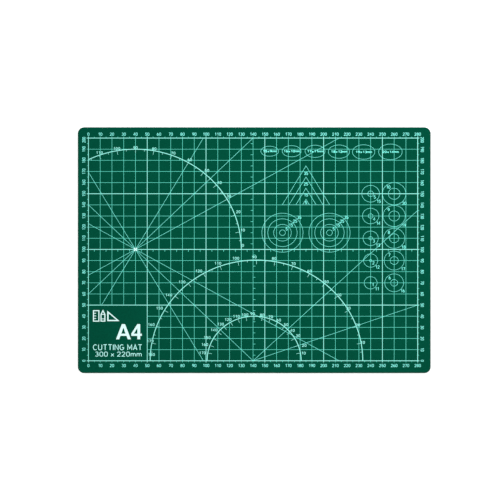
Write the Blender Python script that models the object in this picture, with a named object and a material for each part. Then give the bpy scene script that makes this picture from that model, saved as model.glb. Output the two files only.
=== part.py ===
"""A4 self-healing cutting mat: three laminated PVC sheets with a printed measuring layout.

Metres, +Z up. The origin is at the middle of the underside. +X runs along the long side, to the
right of someone who reads the print, and +Y runs away from that reader.
"""

import math

import bmesh
import bpy

# The whole mat
MAT_WIDTH = 0.300
MAT_DEPTH = 0.220
MAT_THICKNESS = 0.003
CORNER_RADIUS = 0.0055
CORNER_SEGMENTS = 14

# The laminate, from the underside up
CUTTING_SHEET_THICKNESS = 0.0009
BOND_GAP = 0.00003
INK_THICKNESS = 0.00005
CORE_THICKNESS = MAT_THICKNESS - 2 * CUTTING_SHEET_THICKNESS - INK_THICKNESS - 3 * BOND_GAP
EDGE_ROUND = 0.00025
EDGE_SEGMENTS = 3

# The printed grid, whose zero is its near left corner
GRID_WIDTH = 0.280
GRID_DEPTH = 0.200
LEFT_MARGIN = 0.0090
NEAR_MARGIN = 0.0102
MAIN_PITCH = 0.050
MAIN_LINE_WIDTH = 0.0007

# The printed protractors: centre on the grid, radius, first and last angle in degrees
PROTRACTOR_STEP = 3.0
QUARTER_CENTRE = (0.040, 0.100)
QUARTER_RADIUS = 0.090
LARGE_CENTRE = (0.1429, 0.0)
LARGE_RADIUS = 0.0904
SMALL_CENTRE = (0.1409, 0.0)
SMALL_RADIUS = 0.040
HALF_TURN = 180.0

SHEET_GREEN = (0.003, 0.075, 0.045)
CORE_GREEN = (0.012, 0.035, 0.028)
INK_MINT = (0.60, 0.93, 0.86)
SHEET_ROUGHNESS = 0.62
CORE_ROUGHNESS = 0.75
INK_ROUGHNESS = 0.55


def clear_scene():
    for existing in list(bpy.data.objects):
        bpy.data.objects.remove(existing, do_unlink=True)


def plastic(name, colour, roughness):
    material = bpy.data.materials.new(name)
    material.use_nodes = True
    shader = material.node_tree.nodes["Principled BSDF"]
    shader.inputs["Base Color"].default_value = (*colour, 1.0)
    shader.inputs["Roughness"].default_value = roughness
    shader.inputs["Metallic"].default_value = 0.0
    return material


def add_object(name, shape, material, height):
    """Turns a bmesh into a named object that stands at the given height."""
    mesh = bpy.data.meshes.new(name)
    shape.to_mesh(mesh)
    shape.free()
    mesh.materials.append(material)
    thing = bpy.data.objects.new(name, mesh)
    thing.location = (0.0, 0.0, height)
    bpy.context.scene.collection.objects.link(thing)
    return thing


def thicken(shape, thickness):
    """Extrudes every face of a flat shape upwards, which closes it."""
    raised = bmesh.ops.extrude_face_region(shape, geom=list(shape.faces))
    corners = [item for item in raised["geom"] if isinstance(item, bmesh.types.BMVert)]
    bmesh.ops.translate(shape, verts=corners, vec=(0.0, 0.0, thickness))
    bmesh.ops.recalc_face_normals(shape, faces=list(shape.faces))


def rounded_outline():
    """The mat's outline about the origin, anticlockwise from the right-hand far corner."""
    reach_x = MAT_WIDTH / 2 - CORNER_RADIUS
    reach_y = MAT_DEPTH / 2 - CORNER_RADIUS
    points = []
    for quarter, (side_x, side_y) in enumerate(((1, 1), (-1, 1), (-1, -1), (1, -1))):
        for step in range(CORNER_SEGMENTS + 1):
            angle = math.radians(90 * (quarter + step / CORNER_SEGMENTS))
            x = side_x * reach_x + CORNER_RADIUS * math.cos(angle)
            y = side_y * reach_y + CORNER_RADIUS * math.sin(angle)
            points.append((x, y))
    return points


def make_sheet(name, height, thickness, material, eased_height=None):
    """One sheet of the laminate. The outline at eased_height is rounded over, as a die leaves it."""
    shape = bmesh.new()
    corners = [shape.verts.new((x, y, 0.0)) for x, y in rounded_outline()]
    shape.faces.new(corners)
    thicken(shape, thickness)
    if eased_height is not None:
        rim = []
        for edge in shape.edges:
            if all(abs(corner.co.z - eased_height) < BOND_GAP for corner in edge.verts):
                rim.append(edge)
        bmesh.ops.bevel(
            shape,
            geom=rim,
            offset=EDGE_ROUND,
            segments=EDGE_SEGMENTS,
            profile=0.5,
            affect="EDGES",
        )
    sheet = add_object(name, shape, material, height)
    sheet.data.shade_smooth()
    sheet.data.set_sharp_from_angle(angle=math.radians(35))
    return sheet


def on_mat(x, y):
    """A place on the grid as a place on the mat."""
    return (x - MAT_WIDTH / 2 + LEFT_MARGIN, y - MAT_DEPTH / 2 + NEAR_MARGIN)


def line_sides(length):
    """Both sides of each main line along a grid side: every MAIN_PITCH, and one at its end."""
    count = math.ceil(length / MAIN_PITCH - 1e-6)
    places = [MAIN_PITCH * index for index in range(count)] + [length]
    sides = []
    for place in places:
        sides.append(place - MAIN_LINE_WIDTH / 2)
        sides.append(place + MAIN_LINE_WIDTH / 2)
    return sides


def flat_main_grid():
    """The border and the main lines as one flat lattice. Even intervals of either list are lines."""
    across = line_sides(GRID_WIDTH)
    along = line_sides(GRID_DEPTH)
    shape = bmesh.new()
    corners = [[shape.verts.new((*on_mat(x, y), 0.0)) for y in along] for x in across]
    for i in range(len(across) - 1):
        for j in range(len(along) - 1):
            if i % 2 == 0 or j % 2 == 0:
                square = (corners[i][j], corners[i + 1][j], corners[i + 1][j + 1], corners[i][j + 1])
                shape.faces.new(square)
    return shape


def make_arc_guide(name, centre, radius, last_angle, material, height):
    """A curved line of the print from angle 0, as a closed band that is only joined to the grid."""
    steps = math.ceil(last_angle / PROTRACTOR_STEP)
    shape = bmesh.new()
    pairs = []
    for step in range(steps + 1):
        angle = math.radians(last_angle * step / steps)
        pair = []
        for reach in (radius - MAIN_LINE_WIDTH / 2, radius + MAIN_LINE_WIDTH / 2):
            x, y = on_mat(centre[0] + reach * math.cos(angle), centre[1] + reach * math.sin(angle))
            pair.append(shape.verts.new((x, y, 0.0)))
        pairs.append(pair)
    for near, far in zip(pairs, pairs[1:]):
        shape.faces.new((near[0], near[1], far[1], far[0]))
    thicken(shape, INK_THICKNESS)
    guide = add_object(name, shape, material, height)
    guide.hide_render = True
    guide.display_type = "WIRE"
    return guide


def make_printed_grid(height, material):
    """The ink layer's main lines and protractor arcs, as one connected piece."""
    shape = flat_main_grid()
    thicken(shape, INK_THICKNESS)
    print_layer = add_object("printed_main_grid", shape, material, height)
    quarter_end = math.degrees(math.acos(-QUARTER_CENTRE[0] / QUARTER_RADIUS))
    arcs = (
        ("quarter_protractor_guide", QUARTER_CENTRE, QUARTER_RADIUS, quarter_end),
        ("large_protractor_guide", LARGE_CENTRE, LARGE_RADIUS, HALF_TURN),
        ("small_protractor_guide", SMALL_CENTRE, SMALL_RADIUS, HALF_TURN),
    )
    guides = []
    for name, centre, radius, last_angle in arcs:
        guide = make_arc_guide(name, centre, radius, last_angle, material, height)
        union = print_layer.modifiers.new(name, "BOOLEAN")
        union.operation = "UNION"
        union.solver = "EXACT"
        union.object = guide
        guides.append(guide)
    return [print_layer, *guides]


def main():
    clear_scene()
    mat = bpy.data.objects.new("cutting_mat", None)
    bpy.context.scene.collection.objects.link(mat)
    soft_green = plastic("self_healing_vinyl", SHEET_GREEN, SHEET_ROUGHNESS)
    core_green = plastic("rigid_core_vinyl", CORE_GREEN, CORE_ROUGHNESS)
    mint_ink = plastic("printed_ink", INK_MINT, INK_ROUGHNESS)

    core_height = CUTTING_SHEET_THICKNESS + BOND_GAP
    upper_height = core_height + CORE_THICKNESS + BOND_GAP
    ink_height = upper_height + CUTTING_SHEET_THICKNESS + BOND_GAP
    lower = make_sheet("lower_cutting_sheet", 0.0, CUTTING_SHEET_THICKNESS, soft_green, 0.0)
    core = make_sheet("core_sheet", core_height, CORE_THICKNESS, core_green)
    upper = make_sheet(
        "upper_cutting_sheet",
        upper_height,
        CUTTING_SHEET_THICKNESS,
        soft_green,
        CUTTING_SHEET_THICKNESS,
    )
    for thing in [lower, core, upper, *make_printed_grid(ink_height, mint_ink)]:
        thing.parent = mat


main()
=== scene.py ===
"""Looks of an A4 self-healing cutting mat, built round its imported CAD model.

The CAD sheets keep their shape and get detailed vinyl materials. All of the print is built here as
thin raised ink. It is drawn in millimetres on the printed grid, whose zero is its near left corner.
"""

import math

import bmesh
import bpy
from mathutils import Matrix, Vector
from mathutils.geometry import tessellate_polygon


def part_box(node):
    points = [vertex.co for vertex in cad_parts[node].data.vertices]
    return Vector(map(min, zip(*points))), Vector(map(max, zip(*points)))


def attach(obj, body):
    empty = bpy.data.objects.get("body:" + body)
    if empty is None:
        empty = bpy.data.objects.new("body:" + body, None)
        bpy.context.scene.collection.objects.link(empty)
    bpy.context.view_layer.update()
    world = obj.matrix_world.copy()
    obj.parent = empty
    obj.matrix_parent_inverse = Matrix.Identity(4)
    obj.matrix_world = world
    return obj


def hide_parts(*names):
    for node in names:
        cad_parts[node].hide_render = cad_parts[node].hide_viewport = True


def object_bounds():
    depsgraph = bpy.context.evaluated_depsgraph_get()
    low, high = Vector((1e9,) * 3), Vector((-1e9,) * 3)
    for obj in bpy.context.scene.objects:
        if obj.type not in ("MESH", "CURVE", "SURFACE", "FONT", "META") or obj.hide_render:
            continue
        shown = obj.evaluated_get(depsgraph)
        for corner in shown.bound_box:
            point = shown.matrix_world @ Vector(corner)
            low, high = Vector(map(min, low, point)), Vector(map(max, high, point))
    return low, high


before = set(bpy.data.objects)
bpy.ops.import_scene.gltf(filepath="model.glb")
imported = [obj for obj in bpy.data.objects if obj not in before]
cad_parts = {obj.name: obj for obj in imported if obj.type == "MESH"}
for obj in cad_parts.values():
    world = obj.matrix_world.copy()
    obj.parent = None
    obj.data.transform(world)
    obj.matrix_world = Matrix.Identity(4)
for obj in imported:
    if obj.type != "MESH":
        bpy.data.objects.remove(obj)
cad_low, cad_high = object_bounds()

MM = 0.001

# The printed grid in millimetres, and the centre of its angle lines
GRID_WIDTH = 280
GRID_DEPTH = 200
FINE_PITCH = 10
MAIN_PITCH = 50
LABEL_BOX = 50
OVERSHOOT = 1.4
ANGLE_CENTRE = (40, 100)

# Widths of the printed lines, in millimetres
THIN_LINE = 0.24
TICK_LINE = 0.28
FIGURE_LINE = 0.27
CIRCLE_LINE = 0.25
ARC_LINE = 0.64
MAIN_LINE = 0.48
BROAD_LINE = 0.58
DIGIT_STROKE = 0.41
SCALE_STROKE = 0.36

# The numbers at the templates, in millimetres
TEMPLATE_TEXT = {"height": 2.4, "stroke": 0.42, "pitch": 1.85}
SMALL_TEMPLATE_TEXT = {"height": 2.5, "stroke": 0.40, "pitch": 1.85}

# The mitre of a corner stops growing where the cosine of half its turn falls below this
LEAST_MITRE_COSINE = 0.4

# The ends of a line meet, and make it a loop, if they are closer than this, in millimetres
MEETING_DISTANCE = 1e-6

# Ink heights: each layer lies on the one before, and a stroke that crosses another is lifted
INK_BASE = 0.006 * MM
LAYER_STEP = 0.008 * MM
LIFT_STEP = 0.0005 * MM

# Inks, from the faintest lines to the solid lettering, and the vinyl's two tones
FINE_LINE_INK = (0.15, 0.84, 0.67)
BROAD_LINE_INK = (0.29, 0.82, 0.71)
FIGURE_INK = (0.20, 0.86, 0.73)
SCALE_NUMBER_INK = (0.25, 0.93, 0.81)
LABEL_WORDS_INK = (0.50, 0.96, 0.90)
SOLID_LABEL_INK = (0.67, 0.89, 0.86)
VINYL_PALE = (0.0002, 0.0718, 0.0397)
VINYL_DEEP = (0.0002, 0.0607, 0.0326)
CORE_PALE = (0.0030, 0.0520, 0.0330)
CORE_DEEP = (0.0015, 0.0330, 0.0210)

# The studio, in metres and watts
FLOOR_REACH = 6.0
FLOOR_DROP = 0.0001
FLOOR_GLOW = 0.45
FLOOR_DULL = (0.90, 0.90, 0.90)
FLOOR_BRIGHT = (0.93, 0.93, 0.93)
KEY_PLACE = (0.080, 0.075, 0.31)
KEY_SIZE = 0.3
KEY_POWER = 0.58
KEY_COLOUR = (0.90, 0.97, 1.0)

# The camera looks from the reader's side, some degrees off straight down; lengths in metres
VIEW_TILT = 18.75
VIEW_SPAN = 0.4252
VIEW_SIDE_SHIFT = -0.00360
VIEW_FAR_SHIFT = -0.00035
VIEW_DISTANCE = 1.5

grid_low, grid_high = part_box("printed_main_grid")
SHEET_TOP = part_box("upper_cutting_sheet")[1].z
GRID_ZERO = (
    (grid_low.x + grid_high.x - GRID_WIDTH * MM) / 2,
    (grid_low.y + grid_high.y - GRID_DEPTH * MM) / 2,
)


# ---------------------------------------------------------------- ink shapes


def curve(centre, radii, first, last, steps=8):
    """Points along part of an ellipse, from one angle in degrees to another."""
    points = []
    for step in range(steps + 1):
        angle = math.radians(first + (last - first) * step / steps)
        x = centre[0] + radii[0] * math.cos(angle)
        y = centre[1] + radii[1] * math.sin(angle)
        points.append((x, y))
    return points


def polar(centre, radius, degrees):
    """The point at a distance and an angle from a centre."""
    angle = math.radians(degrees)
    return (centre[0] + radius * math.cos(angle), centre[1] + radius * math.sin(angle))


class InkLayer:
    """One printed piece: flat shapes in grid millimetres, each raised into a thin closed solid."""

    def __init__(self, name, layer):
        self.name = name
        self.top = SHEET_TOP + INK_BASE + layer * LAYER_STEP
        self.shape = bmesh.new()

    def corners(self, points, lift):
        """The points at the sheet's surface and again at the top of the ink."""
        rings = []
        for height in (SHEET_TOP - INK_BASE, self.top + lift * LIFT_STEP):
            ring = []
            for x, y in points:
                place = (GRID_ZERO[0] + x * MM, GRID_ZERO[1] + y * MM, height)
                ring.append(self.shape.verts.new(place))
            rings.append(ring)
        return rings

    def band(self, points, width, lift=0):
        """A line of constant width, mitred at its corners. It is a loop if its ends meet."""
        path = [Vector(point) for point in points]
        closed = (path[0] - path[-1]).length < MEETING_DISTANCE
        if closed:
            path.pop()
        count = len(path)
        left, right = [], []
        for i, point in enumerate(path):
            arriving = path[i] - path[i - 1] if closed or i else path[1] - path[0]
            leaving = path[(i + 1) % count] - point if closed or i + 1 < count else arriving
            arriving, leaving = arriving.normalized(), leaving.normalized()
            along = (arriving + leaving).normalized()
            outward = Vector((-along.y, along.x))
            stretch = 1 / max(LEAST_MITRE_COSINE, along.dot(arriving))
            left.append(point + outward * width / 2 * stretch)
            right.append(point - outward * width / 2 * stretch)
        low_left, top_left = self.corners(left, lift)
        low_right, top_right = self.corners(right, lift)
        new = self.shape.faces.new
        for i in range(count if closed else count - 1):
            j = (i + 1) % count
            new((top_right[i], top_right[j], top_left[j], top_left[i]))
            new((low_left[i], low_left[j], low_right[j], low_right[i]))
            new((top_left[i], top_left[j], low_left[j], low_left[i]))
            new((low_right[i], low_right[j], top_right[j], top_right[i]))
        if not closed:
            new((top_left[0], low_left[0], low_right[0], top_right[0]))
            new((top_right[-1], low_right[-1], low_left[-1], top_left[-1]))

    def area(self, outline, hole=()):
        """A filled shape, anticlockwise, with at most one hole, clockwise."""
        loops = [list(outline), list(hole)] if hole else [list(outline)]
        flat = [[Vector((x, y, 0)) for x, y in loop] for loop in loops]
        points = [point for loop in loops for point in loop]
        low, top = self.corners(points, 0)
        for triangle in tessellate_polygon(flat):
            a, b, c = (Vector(points[k]) for k in triangle)
            order = triangle if (b - a).cross(c - a) > 0 else triangle[::-1]
            self.shape.faces.new([top[k] for k in order])
            self.shape.faces.new([low[k] for k in reversed(order)])
        start = 0
        for loop in loops:
            for k in range(len(loop)):
                i, j = start + k, start + (k + 1) % len(loop)
                self.shape.faces.new((low[i], low[j], top[j], top[i]))
            start += len(loop)

    def text(self, words, centre, height, stroke, pitch=None, turn=0, stretch=1.0):
        """Upright words about their centre, or turned by some degrees. pitch fixes the spacing."""
        gap = LETTER_GAP * stretch
        widths = [GLYPH_WIDTHS.get(letter, DIGIT_WIDTH) * stretch for letter in words]
        if pitch:
            cell = pitch / height
            starts = [k * cell + (cell - gap - width) / 2 for k, width in enumerate(widths)]
            length = len(words) * cell - gap
        else:
            starts = [sum(widths[:k]) + k * gap for k in range(len(words))]
            length = sum(widths) + gap * (len(words) - 1)
        cosine, sine = math.cos(math.radians(turn)), math.sin(math.radians(turn))
        for letter, start in zip(words, starts):
            for lift, points in enumerate(GLYPHS[letter]):
                placed = []
                for x, y in points:
                    across = (start + x * stretch - length / 2) * height
                    up = (y - 0.5) * height
                    placed.append((
                        centre[0] + across * cosine - up * sine,
                        centre[1] + across * sine + up * cosine,
                    ))
                self.band(placed, stroke, lift)

    def piece(self, material):
        """The finished object, which rides on the mat."""
        mesh = bpy.data.meshes.new(self.name)
        self.shape.to_mesh(mesh)
        self.shape.free()
        mesh.materials.append(material)
        thing = bpy.data.objects.new(self.name, mesh)
        bpy.context.scene.collection.objects.link(thing)
        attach(thing, "root")
        return thing


# Letters and digits as single strokes in a box one unit tall
LETTER_GAP = 0.26
DIGIT_WIDTH = 0.54
GLYPH_WIDTHS = {
    " ": 0.12, "1": 0.40, "x": 0.46, "m": 0.78, "C": 0.58, "G": 0.62, "I": 0.0, "M": 0.66,
}
GLYPHS = {
    " ": [],
    "0": [
        curve((0.27, 0.72), (0.27, 0.28), 0, 180)
        + curve((0.27, 0.28), (0.27, 0.28), 180, 360)
        + [(0.54, 0.72)]
    ],
    "1": [[(0.06, 0.78), (0.30, 1.0), (0.30, 0.0)]],
    "2": [curve((0.27, 0.73), (0.26, 0.27), 170, -38) + [(0.02, 0.0), (0.54, 0.0)]],
    "3": [
        curve((0.26, 0.76), (0.23, 0.24), 150, -90),
        curve((0.26, 0.26), (0.28, 0.26), 90, -150),
    ],
    "4": [[(0.40, 0.0), (0.40, 1.0), (0.0, 0.28), (0.56, 0.28)]],
    "5": [[(0.50, 1.0), (0.09, 1.0), (0.05, 0.55)] + curve((0.26, 0.31), (0.28, 0.31), 125, -150)],
    "6": [
        curve((0.27, 0.29), (0.27, 0.29), 0, 360, 14),
        curve((0.47, 0.29), (0.47, 0.69), 172, 102, 6),
    ],
    "7": [[(0.0, 1.0), (0.54, 1.0), (0.20, 0.0)]],
    "8": [
        curve((0.27, 0.76), (0.22, 0.24), 0, 360, 14),
        curve((0.27, 0.27), (0.27, 0.27), 0, 360, 14),
    ],
    "9": [
        curve((0.27, 0.71), (0.27, 0.29), 0, 360, 14),
        curve((0.07, 0.71), (0.47, 0.69), -8, -78, 6),
    ],
    "x": [[(0.0, 0.62), (0.46, 0.0)], [(0.0, 0.0), (0.46, 0.62)]],
    "m": [
        [(0.0, 0.0), (0.0, 0.66)],
        [(0.02, 0.40)] + curve((0.20, 0.42), (0.19, 0.24), 160, 0, 6) + [(0.39, 0.0)],
        [(0.41, 0.40)] + curve((0.59, 0.42), (0.19, 0.24), 160, 0, 6) + [(0.78, 0.0)],
    ],
    "A": [[(0.0, 0.0), (0.29, 1.0), (0.58, 0.0)], [(0.12, 0.32), (0.46, 0.32)]],
    "C": [curve((0.32, 0.5), (0.32, 0.5), 50, 310, 12)],
    "G": [curve((0.32, 0.5), (0.32, 0.5), 50, 345, 12) + [(0.62, 0.46), (0.36, 0.46)]],
    "I": [[(0.0, 0.0), (0.0, 1.0)]],
    "M": [[(0.0, 0.0), (0.0, 1.0), (0.33, 0.25), (0.66, 1.0), (0.66, 0.0)]],
    "N": [[(0.0, 0.0), (0.0, 1.0), (0.54, 0.0), (0.54, 1.0)]],
    "T": [[(0.0, 1.0), (0.56, 1.0)], [(0.28, 1.0), (0.28, 0.0)]],
    "U": [[(0.0, 1.0)] + curve((0.27, 0.3), (0.27, 0.3), 180, 360) + [(0.54, 1.0)]],
}


# ---------------------------------------------------------------- grid and scale


def draw_fine_grid(ink):
    """Lines every 10 mm that just pass the border, and stubs where the label box stops them."""
    far = GRID_DEPTH + OVERSHOOT
    right = GRID_WIDTH + OVERSHOOT
    for x in range(FINE_PITCH, GRID_WIDTH, FINE_PITCH):
        if x % MAIN_PITCH:
            near = LABEL_BOX if x < LABEL_BOX else -OVERSHOOT
            ink.band([(x, near), (x, far)], THIN_LINE)
            if x < LABEL_BOX:
                ink.band([(x, -OVERSHOOT), (x, 0)], THIN_LINE)
    for y in range(FINE_PITCH, GRID_DEPTH, FINE_PITCH):
        if y % MAIN_PITCH:
            left = LABEL_BOX if y < LABEL_BOX else -OVERSHOOT
            ink.band([(left, y), (right, y)], THIN_LINE, lift=1)
            if y < LABEL_BOX:
                ink.band([(-OVERSHOOT, y), (0, y)], THIN_LINE, lift=1)


def draw_main_lines(ink):
    """The border and the lines every 50 mm. The right border and the long lines are broader."""
    far = GRID_DEPTH + OVERSHOOT
    right = GRID_WIDTH + OVERSHOOT
    for x in range(0, GRID_WIDTH + 1, MAIN_PITCH):
        ink.band([(x, -OVERSHOOT), (x, far)], MAIN_LINE)
    ink.band([(GRID_WIDTH, -OVERSHOOT), (GRID_WIDTH, far)], BROAD_LINE)
    for y in range(0, GRID_DEPTH + 1, MAIN_PITCH):
        ink.band([(-OVERSHOOT, y), (right, y)], BROAD_LINE, lift=1)


def draw_ticks(ink):
    """Ticks half way between the 10 mm lines, outside the border and on the two middle lines."""
    outer_tick, inner_tick = 1.15, 2.0
    middle = GRID_DEPTH / 2
    half_pitch = FINE_PITCH // 2
    for x in range(half_pitch, GRID_WIDTH, FINE_PITCH):
        ink.band([(x, 0), (x, -outer_tick)], TICK_LINE)
        ink.band([(x, GRID_DEPTH), (x, GRID_DEPTH + outer_tick)], TICK_LINE)
        ink.band([(x, middle), (x, middle - inner_tick)], TICK_LINE)
    for y in range(half_pitch, GRID_DEPTH, FINE_PITCH):
        side = inner_tick if y < middle else -inner_tick
        ink.band([(0, y), (-outer_tick, y)], TICK_LINE, lift=1)
        ink.band([(GRID_WIDTH, y), (GRID_WIDTH + outer_tick, y)], TICK_LINE, lift=1)
        ink.band([(GRID_WIDTH / 2, y), (GRID_WIDTH / 2 + side, y)], TICK_LINE, lift=1)


def draw_scale_numbers(ink):
    """The numbers every 10 mm outside the border, turned to follow the short sides.

    Those on the short sides are narrower, and their last ones stand clear of the corners.
    """
    height, pitch = 2.4, 1.9
    side_pitch, side_stretch = 1.75, 0.88
    off_far, off_near, off_side = 3.5, 4.3, 3.9
    end_shift = 1.6
    for x in range(0, GRID_WIDTH + 1, FINE_PITCH):
        for y in (GRID_DEPTH + off_far, -off_near):
            ink.text(str(x), (x, y), height, SCALE_STROKE, pitch)
    for y in range(0, GRID_DEPTH + 1, FINE_PITCH):
        place = y - end_shift if y == GRID_DEPTH else y
        for x, turn in ((-off_side, 90), (GRID_WIDTH + off_side, -90)):
            ink.text(str(y), (x, place), height, SCALE_STROKE, side_pitch, turn, side_stretch)


# ---------------------------------------------------------------- protractors and angles


def draw_protractor(ink, centre, radius, last_angle, steps, tick_step):
    """An arc from angle 0 with ticks inside it, which are longer every 10 degrees."""
    short, long = 1.7, 3.6
    ink.band(curve(centre, (radius, radius), 0, last_angle, steps), ARC_LINE)
    for angle in range(tick_step, math.ceil(last_angle), tick_step):
        reach = short if angle % 10 else long
        ends = [polar(centre, radius, angle), polar(centre, radius - reach, angle)]
        ink.band(ends, TICK_LINE, lift=1)


def draw_degrees(ink, centre, radius, angles, moved, clearance=0.35):
    """Upright numbers just outside the arc. moved shifts those that are printed out of line."""
    height, pitch, stretch = 2.1, 2.05, 1.1
    for angle in angles:
        words = str(angle)
        half_width = len(words) * pitch / 2
        across = abs(math.cos(math.radians(angle)))
        up = abs(math.sin(math.radians(angle)))
        reach = radius + clearance + across * half_width + up * height / 2
        x, y = polar(centre, reach, angle)
        shift_x, shift_y = moved.get(angle, (0, 0))
        place = (x + shift_x, y + shift_y)
        ink.text(words, place, height, DIGIT_STROKE, pitch, stretch=stretch)


def draw_quarter_protractor(ink):
    """The protractor about the angle lines' centre, cut off by the left border."""
    radius = 90
    end = math.degrees(math.acos(-ANGLE_CENTRE[0] / radius))
    draw_protractor(ink, ANGLE_CENTRE, radius, end, steps=90, tick_step=5)
    moved = {
        0: (0, 3.6), 10: (0, 1.3), 20: (0.4, 2.1), 30: (-0.9, 1.6), 40: (0.4, 0.5),
        50: (1.3, 0), 60: (0, 0.6), 70: (0.6, 0), 110: (0.9, 0),
    }
    draw_degrees(ink, ANGLE_CENTRE, radius, range(0, 111, 10), moved)


def draw_large_protractor(ink):
    """The protractor about the middle of the near side."""
    radius, arc_centre, number_centre = 90.4, (142.9, 0), (141.7, 0.3)
    draw_protractor(ink, arc_centre, radius, 180, steps=140, tick_step=5)
    moved = {
        30: (-1.3, 0.4), 40: (0.2, -0.9), 50: (1.0, -0.5), 70: (1.0, 0), 80: (0.2, 0.8),
        90: (-0.6, 1.1), 100: (-0.4, 0.8), 120: (-1.3, -0.4), 130: (-2.1, -1.2),
        140: (-1.6, -1.5), 170: (3.3, 1.1), 180: (5.7, 5.3),
    }
    draw_degrees(ink, number_centre, radius, range(10, 181, 10), moved)


def draw_small_protractor(ink):
    """The protractor inside the large one, whose numbers stand a little further off."""
    radius, arc_centre, number_centre = 40, (140.9, 0), (140.4, -0.6)
    draw_protractor(ink, arc_centre, radius, 180, steps=90, tick_step=10)
    moved = {20: (2.5, -0.4), 30: (0.4, 1.5), 90: (-0.8, 0.8), 150: (-1.3, -0.7)}
    draw_degrees(ink, number_centre, radius, range(10, 171, 10), moved, clearance=0.95)


def to_border(start, degrees):
    """Where a slanted ray from start leaves the grid, or meets the top of the label box."""
    x, y = math.cos(math.radians(degrees)), math.sin(math.radians(degrees))
    to_short_side = ((GRID_WIDTH if x > 0 else 0) - start[0]) / x
    to_long_side = ((GRID_DEPTH if y > 0 else 0) - start[1]) / y
    to_box = (LABEL_BOX - start[1]) / y
    reach = min(to_short_side, to_long_side)
    if y < 0 and start[0] + to_box * x < LABEL_BOX:
        reach = min(reach, to_box)
    return (start[0] + reach * x, start[1] + reach * y)


def draw_angle_lines(ink):
    """Rays at the common angles about one centre, and two slanted lines from the near side."""
    angles = [side + turn for side in (0, 90, 180, 270) for turn in (30, 45, 60)]
    for lift, angle in enumerate(angles):
        ink.band([ANGLE_CENTRE, to_border(ANGLE_CENTRE, angle)], FIGURE_LINE, lift)
    low_end, high_end = 50, 135
    for lift, end in enumerate((low_end, high_end)):
        ink.band([(GRID_WIDTH / 2, 0), (GRID_WIDTH, end)], FIGURE_LINE, lift)


def draw_centre_star(ink):
    """The bright middle of the angle lines, where they run together into solid ink."""
    reach, line = 1.7, 0.42
    for lift, angle in enumerate((30, 45, 60, 120, 135, 150)):
        ends = [polar(ANGLE_CENTRE, reach, angle), polar(ANGLE_CENTRE, reach, angle + 180)]
        ink.band(ends, line, lift)


# ---------------------------------------------------------------- templates


def draw_ellipses(ink):
    """Six ellipse templates of growing size in a row, each with its size in the middle."""
    text_height, stroke, pitch, stretch = 1.7, 0.47, 1.98, 1.45
    ellipses = (
        ((154.1, 188.2), 15, 9),
        ((172.8, 188.2), 16, 10),
        ((192.7, 188.1), 17, 11),
        ((213.0, 187.8), 18, 12),
        ((234.0, 187.5), 19, 13),
        ((256.8, 187.6), 20, 14),
    )
    for centre, width, height in ellipses:
        ink.band(curve(centre, (width / 2, height / 2), 0, 360, steps=48), CIRCLE_LINE)
        words = f"{width}x{height}mm"
        ink.text(words, centre, text_height, stroke, pitch, stretch=stretch)


def draw_circle(ink, centre, diameter, steps):
    """A thin circle of the templates."""
    radius = diameter / 2
    ink.band(curve(centre, (radius, radius), 0, 360, steps), CIRCLE_LINE)


def draw_triangles(ink):
    """Nested equilateral triangles on one base, marked with their heights."""
    middle, base = 185, 140
    heights = ((35, 28.2), (25, 18.8), (15, 8.9), (5, 2.0))
    for lift, (height, number_height) in enumerate(heights):
        half = height / math.sqrt(3)
        corners = [(middle - half, base), (middle + half, base), (middle, base + height)]
        ink.band(corners + corners[:1], FIGURE_LINE, lift)
        ink.text(str(height), (middle, base + number_height), **TEMPLATE_TEXT)


def draw_nested_circles(ink):
    """Two sets of circles about one centre, with the diameters along a diagonal."""
    diagonal, gap = 44, 2.4
    for centre in ((165, 115), (205, 115)):
        for diameter in (5, 15, 25, 35):
            draw_circle(ink, centre, diameter, steps=16 + diameter)
            place = polar(centre, diameter / 2 + gap, diagonal)
            ink.text(str(diameter), place, **TEMPLATE_TEXT)


def draw_small_circles(ink):
    """Two columns of circle pairs whose diameters shrink by 1 mm a row.

    A column has its place, and for each circle of its first pair the diameter and the direction and
    distance of the number.
    """
    rows, first_row, row_pitch = 5, 150, 20
    columns = (
        (240, (5, -42, 2.1), (15, -45, 2.2)),
        (260, (10, 130, 2.9), (20, -45, 2.2)),
    )
    for row in range(rows):
        y = first_row - row * row_pitch
        for x, *circles in columns:
            for first_diameter, direction, gap in circles:
                diameter = first_diameter - row
                draw_circle(ink, (x, y), diameter, steps=20 + diameter)
                place = polar((x, y), diameter / 2 + gap, direction)
                ink.text(str(diameter), place, **SMALL_TEMPLATE_TEXT)


# ---------------------------------------------------------------- size label


def draw_size_label(ink):
    """The paper size in bold, and three tool signs."""
    foot, bar_low, bar_high, top = 19.3, 22.4, 24.3, 32.9
    ink.area(
        [
            (23.5, foot), (26.1, foot), (27.2, bar_low), (32.4, bar_low),
            (33.5, foot), (36.1, foot), (31.1, top), (28.4, top),
        ],
        [(27.9, bar_high), (29.75, 29.8), (31.6, bar_high)],
    )
    stem_left, stem_right, bar_end = 41.6, 44.0, 45.4
    ink.area(
        [
            (stem_left, foot), (stem_right, foot), (stem_right, bar_low), (bar_end, bar_low),
            (bar_end, bar_high), (stem_right, bar_high), (stem_right, top), (stem_left, top),
            (36.5, 24.5), (36.5, bar_low), (stem_left, bar_low),
        ],
        [(38.6, bar_high), (stem_left, 29.4), (stem_left, bar_high)],
    )
    draw_tool_signs(ink)


def draw_label_words(ink):
    """The kind of object and its size in millimetres, below the paper size."""
    ink.text("CUTTING MAT", (24.7, 12.1), height=4.7, stroke=0.58, stretch=1.12)
    ink.text("300 x 220mm", (25.4, 6.0), height=3.9, stroke=0.50, stretch=1.24)


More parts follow.
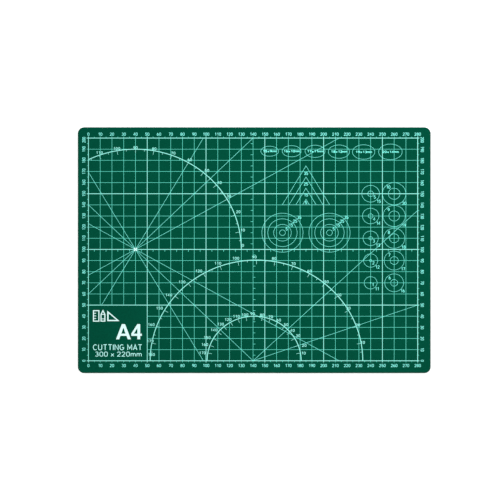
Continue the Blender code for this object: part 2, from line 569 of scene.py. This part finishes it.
def draw_tool_signs(ink):
    """A ruler, a pencil and a set square, as plain signs."""
    low, high = 35.6, 45.0
    line, mark = 0.85, 0.6

    left, right = 4.3, 8.9
    ruler = [(left, low), (right, low), (right, high), (left, high)]
    ink.band(ruler + ruler[:1], line)
    spaces, mark_length = 4, 2.2
    for k in range(1, spaces):
        y = low + k * (high - low) / spaces
        ink.band([(left, y), (left + mark_length, y)], mark, lift=k)

    left, right = 10.7, 14.0
    middle, shoulder, collar = (left + right) / 2, high - 3.4, low + 2.0
    pencil = [(left, low), (right, low), (right, shoulder), (middle, high), (left, shoulder)]
    ink.band(pencil + pencil[:1], line)
    for lift, y in enumerate((shoulder, collar), 1):
        ink.band([(left, y), (right, y)], mark, lift)

    left, right, rim = 16.0, 26.4, 1.1
    hole_left, hole_right = left + rim, right - 2.5
    hole_low, hole_high = low + rim, low + 7.1
    ink.area(
        [(left, low), (right, low), (left, high)],
        [(hole_left, hole_low), (hole_left, hole_high), (hole_right, hole_low)],
    )


# ---------------------------------------------------------------- materials


def add_node(tree, kind, **values):
    """A shader node with some of its inputs or settings given by name."""
    made = tree.nodes.new(kind)
    for name, value in values.items():
        label = name.replace("_", " ").title()
        if label in made.inputs:
            made.inputs[label].default_value = value
        else:
            setattr(made, name, value)
    return made


def new_material(name, roughness, specular):
    """A material with its node tree and its surface shader."""
    material = bpy.data.materials.new(name)
    material.use_nodes = True
    tree = material.node_tree
    shader = tree.nodes["Principled BSDF"]
    shader.inputs["Roughness"].default_value = roughness
    shader.inputs["Specular IOR Level"].default_value = specular
    return material, tree, shader


def noise(tree, place, scale, detail=3.0, roughness=0.5):
    """A cloudy value from 0 to 1, mostly near 0.5. scale is its fineness per metre."""
    made = add_node(tree, "ShaderNodeTexNoise", scale=scale, detail=detail, roughness=roughness)
    tree.links.new(place, made.inputs["Vector"])
    return made.outputs["Fac"]


def blend(tree, share, first, second):
    """Mixes two colours, or two sockets, by a socket."""
    made = add_node(tree, "ShaderNodeMix", data_type="RGBA")
    tree.links.new(share, made.inputs["Factor"])
    for socket, value in (("A", first), ("B", second)):
        target = next(s for s in made.inputs if s.name == socket and s.type == "RGBA")
        if isinstance(value, tuple):
            target.default_value = (*value, 1.0)
        else:
            tree.links.new(value, target)
    return next(s for s in made.outputs if s.type == "RGBA")


def spread(tree, value, span, result=(0.0, 1.0)):
    """A value stretched from its span to the result's range, and kept inside that range."""
    made = add_node(tree, "ShaderNodeMapRange")
    tree.links.new(value, made.inputs["Value"])
    made.inputs["From Min"].default_value = span[0]
    made.inputs["From Max"].default_value = span[1]
    made.inputs["To Min"].default_value = result[0]
    made.inputs["To Max"].default_value = result[1]
    return made.outputs["Result"]


def object_place(tree):
    """The place on the object, which every surface pattern starts from."""
    return tree.nodes.new("ShaderNodeTexCoord").outputs["Object"]


def shade(colour, share):
    """The colour with every channel brought down to a share of itself."""
    return tuple(share * channel for channel in colour)


def bump(tree, shader, height, strength, distance, under=None):
    """A fine relief on the shader, on top of another one if there is one. distance is in metres."""
    made = add_node(tree, "ShaderNodeBump", strength=strength, distance=distance)
    tree.links.new(height, made.inputs["Height"])
    if under is not None:
        tree.links.new(under, made.inputs["Normal"])
    tree.links.new(made.outputs["Normal"], shader.inputs["Normal"])
    return made.outputs["Normal"]


def vinyl(name, pale, deep, roughness):
    """Matte, finely pebbled soft vinyl with faint mottling, dark flecks and uneven wear."""
    material, tree, shader = new_material(name, roughness, specular=0.03)
    shader.inputs["Specular Tint"].default_value = (0.25, 1.0, 0.8, 1.0)
    place = object_place(tree)
    darker = shade(deep, 0.74)

    clouds = spread(tree, noise(tree, place, scale=22, detail=5.0), span=(0.3, 0.7))
    body = blend(tree, clouds, deep, pale)
    coarse_noise = noise(tree, place, scale=750, detail=3.0)
    flecks = spread(tree, coarse_noise, span=(0.38, 0.62), result=(0.0, 0.5))
    flecked = blend(tree, flecks, body, darker)
    fine_noise = noise(tree, place, scale=2600, detail=2.0)
    specks = spread(tree, fine_noise, span=(0.35, 0.65), result=(0.0, 0.45))
    speckled = blend(tree, specks, flecked, darker)
    tree.links.new(speckled, shader.inputs["Base Color"])

    smoothest, roughest = roughness - 0.06, roughness + 0.08
    wear = noise(tree, place, scale=60, detail=4.0)
    rough = spread(tree, wear, span=(0.3, 0.7), result=(smoothest, roughest))
    tree.links.new(rough, shader.inputs["Roughness"])

    pebbles = add_node(tree, "ShaderNodeTexVoronoi", feature="SMOOTH_F1", scale=1500.0)
    tree.links.new(place, pebbles.inputs["Vector"])
    coarse = bump(tree, shader, pebbles.outputs["Distance"], strength=0.5, distance=0.00006)
    grain = noise(tree, place, scale=6000, detail=2.0)
    bump(tree, shader, grain, strength=0.25, distance=0.00002, under=coarse)
    return material


def core_vinyl():
    """The rigid core, seen only as a cut edge with fine upright knife marks."""
    material, tree, shader = new_material("rigid_core", roughness=0.7, specular=0.04)
    squeeze = add_node(tree, "ShaderNodeMapping")
    squeeze.inputs["Scale"].default_value = (1.0, 1.0, 0.05)
    tree.links.new(object_place(tree), squeeze.inputs["Vector"])
    marks = noise(tree, squeeze.outputs["Vector"], scale=1800, detail=3.0)
    share = spread(tree, marks, span=(0.35, 0.65))
    body = blend(tree, share, CORE_DEEP, CORE_PALE)
    tree.links.new(body, shader.inputs["Base Color"])
    bump(tree, shader, marks, strength=0.4, distance=0.00005)
    return material


def printed_ink(name, colour):
    """Matte screen-printed ink that thins a little over the vinyl's grain."""
    material, tree, shader = new_material(name, roughness=0.6, specular=0.03)
    place = object_place(tree)
    clouds = spread(tree, noise(tree, place, scale=45, detail=4.0), span=(0.3, 0.7))
    body = blend(tree, clouds, shade(colour, 0.93), colour)
    fine_noise = noise(tree, place, scale=3200, detail=2.0)
    pinholes = spread(tree, fine_noise, span=(0.62, 0.75), result=(0.0, 0.5))
    pierced = blend(tree, pinholes, body, shade(colour, 0.4))
    tree.links.new(pierced, shader.inputs["Base Color"])
    grain = noise(tree, place, scale=4000, detail=2.0)
    bump(tree, shader, grain, strength=0.2, distance=0.00002)
    return material


def floor_paint():
    """A plain white light table with a barely visible unevenness."""
    material, tree, shader = new_material("studio_floor", roughness=0.9, specular=0.1)
    shader.inputs["Emission Color"].default_value = (1.0, 1.0, 1.0, 1.0)
    shader.inputs["Emission Strength"].default_value = FLOOR_GLOW
    unevenness = noise(tree, object_place(tree), scale=3, detail=2.0)
    paint = blend(tree, unevenness, FLOOR_DULL, FLOOR_BRIGHT)
    tree.links.new(paint, shader.inputs["Base Color"])
    return material


def dress_cad_sheets():
    """The CAD sheets keep their shape and get the detailed materials."""
    soft = vinyl("self_healing_vinyl", VINYL_PALE, VINYL_DEEP, roughness=0.62)
    core = core_vinyl()
    looks = {"upper_cutting_sheet": soft, "lower_cutting_sheet": soft, "core_sheet": core}
    for node_name, material in looks.items():
        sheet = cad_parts[node_name]
        sheet.data.materials.clear()
        sheet.data.materials.append(material)


# ---------------------------------------------------------------- studio


def add_floor():
    """A wide white floor just under the mat."""
    reach = FLOOR_REACH
    height = cad_low.z - FLOOR_DROP
    shape = bmesh.new()
    corners = [(-reach, -reach), (reach, -reach), (reach, reach), (-reach, reach)]
    shape.faces.new([shape.verts.new((x, y, height)) for x, y in corners])
    mesh = bpy.data.meshes.new("studio_floor")
    shape.to_mesh(mesh)
    shape.free()
    mesh.materials.append(floor_paint())
    floor = bpy.data.objects.new("studio_floor", mesh)
    bpy.context.scene.collection.objects.link(floor)


def aim(thing, place, target):
    """Puts a lamp or camera at a place and turns it to the target."""
    thing.location = place
    thing.rotation_euler = (Vector(target) - Vector(place)).to_track_quat("-Z", "Y").to_euler()


def add_light(name, place, size, power, colour):
    """A round soft light that shines straight down."""
    lamp = bpy.data.lights.new(name, "AREA")
    lamp.shape = "DISK"
    lamp.size = size
    lamp.energy = power
    lamp.color = colour
    light = bpy.data.objects.new(name, lamp)
    bpy.context.scene.collection.objects.link(light)
    light.visible_camera = False
    aim(light, place, (place[0], place[1], 0.0))


def add_studio():
    """A bright white room with one soft light close above the far right of the middle."""
    world = bpy.data.worlds.new("studio")
    world.use_nodes = True
    background = world.node_tree.nodes["Background"]
    background.inputs["Color"].default_value = (1.0, 1.0, 1.0, 1.0)
    background.inputs["Strength"].default_value = 1.0
    bpy.context.scene.world = world
    add_light("key_light", KEY_PLACE, KEY_SIZE, KEY_POWER, KEY_COLOUR)
    add_floor()


def add_camera():
    """A flat view without perspective, from the reader's side."""
    lens = bpy.data.cameras.new("camera")
    lens.type = "ORTHO"
    lens.ortho_scale = VIEW_SPAN
    camera = bpy.data.objects.new("camera", lens)
    bpy.context.scene.collection.objects.link(camera)
    tilt = math.radians(VIEW_TILT)
    target = Vector((VIEW_SIDE_SHIFT, VIEW_FAR_SHIFT, cad_high.z))
    back = Vector((0.0, -math.sin(tilt), math.cos(tilt)))
    aim(camera, target + back * VIEW_DISTANCE, target)
    bpy.context.scene.camera = camera
    bpy.context.scene.view_settings.view_transform = "Standard"


# ---------------------------------------------------------------- the whole mat


def print_everything():
    """Makes every printed piece from its name, its layer, its drawing function and its ink."""
    fine = printed_ink("fine_line_ink", FINE_LINE_INK)
    broad = printed_ink("broad_line_ink", BROAD_LINE_INK)
    figure = printed_ink("figure_ink", FIGURE_INK)
    number = printed_ink("scale_number_ink", SCALE_NUMBER_INK)
    words = printed_ink("label_words_ink", LABEL_WORDS_INK)
    solid = printed_ink("solid_label_ink", SOLID_LABEL_INK)
    drawings = (
        ("print_fine_grid", 0, draw_fine_grid, fine),
        ("print_main_lines", 1, draw_main_lines, broad),
        ("print_ticks", 2, draw_ticks, fine),
        ("print_scale_numbers", 2, draw_scale_numbers, number),
        ("print_angle_lines", 3, draw_angle_lines, figure),
        ("print_centre_star", 4, draw_centre_star, solid),
        ("print_quarter_protractor", 4, draw_quarter_protractor, broad),
        ("print_large_protractor", 5, draw_large_protractor, broad),
        ("print_small_protractor", 4, draw_small_protractor, broad),
        ("print_ellipse_template", 5, draw_ellipses, figure),
        ("print_triangle_template", 6, draw_triangles, figure),
        ("print_nested_circles", 7, draw_nested_circles, figure),
        ("print_small_circles", 6, draw_small_circles, figure),
        ("print_size_label", 2, draw_size_label, solid),
        ("print_label_words", 2, draw_label_words, words),
    )
    for name, layer, draw, ink in drawings:
        drawing = InkLayer(name, layer)
        draw(drawing)
        piece = drawing.piece(ink)
        if name == "print_main_lines":
            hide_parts("printed_main_grid")


dress_cad_sheets()
print_everything()
add_studio()
add_camera()
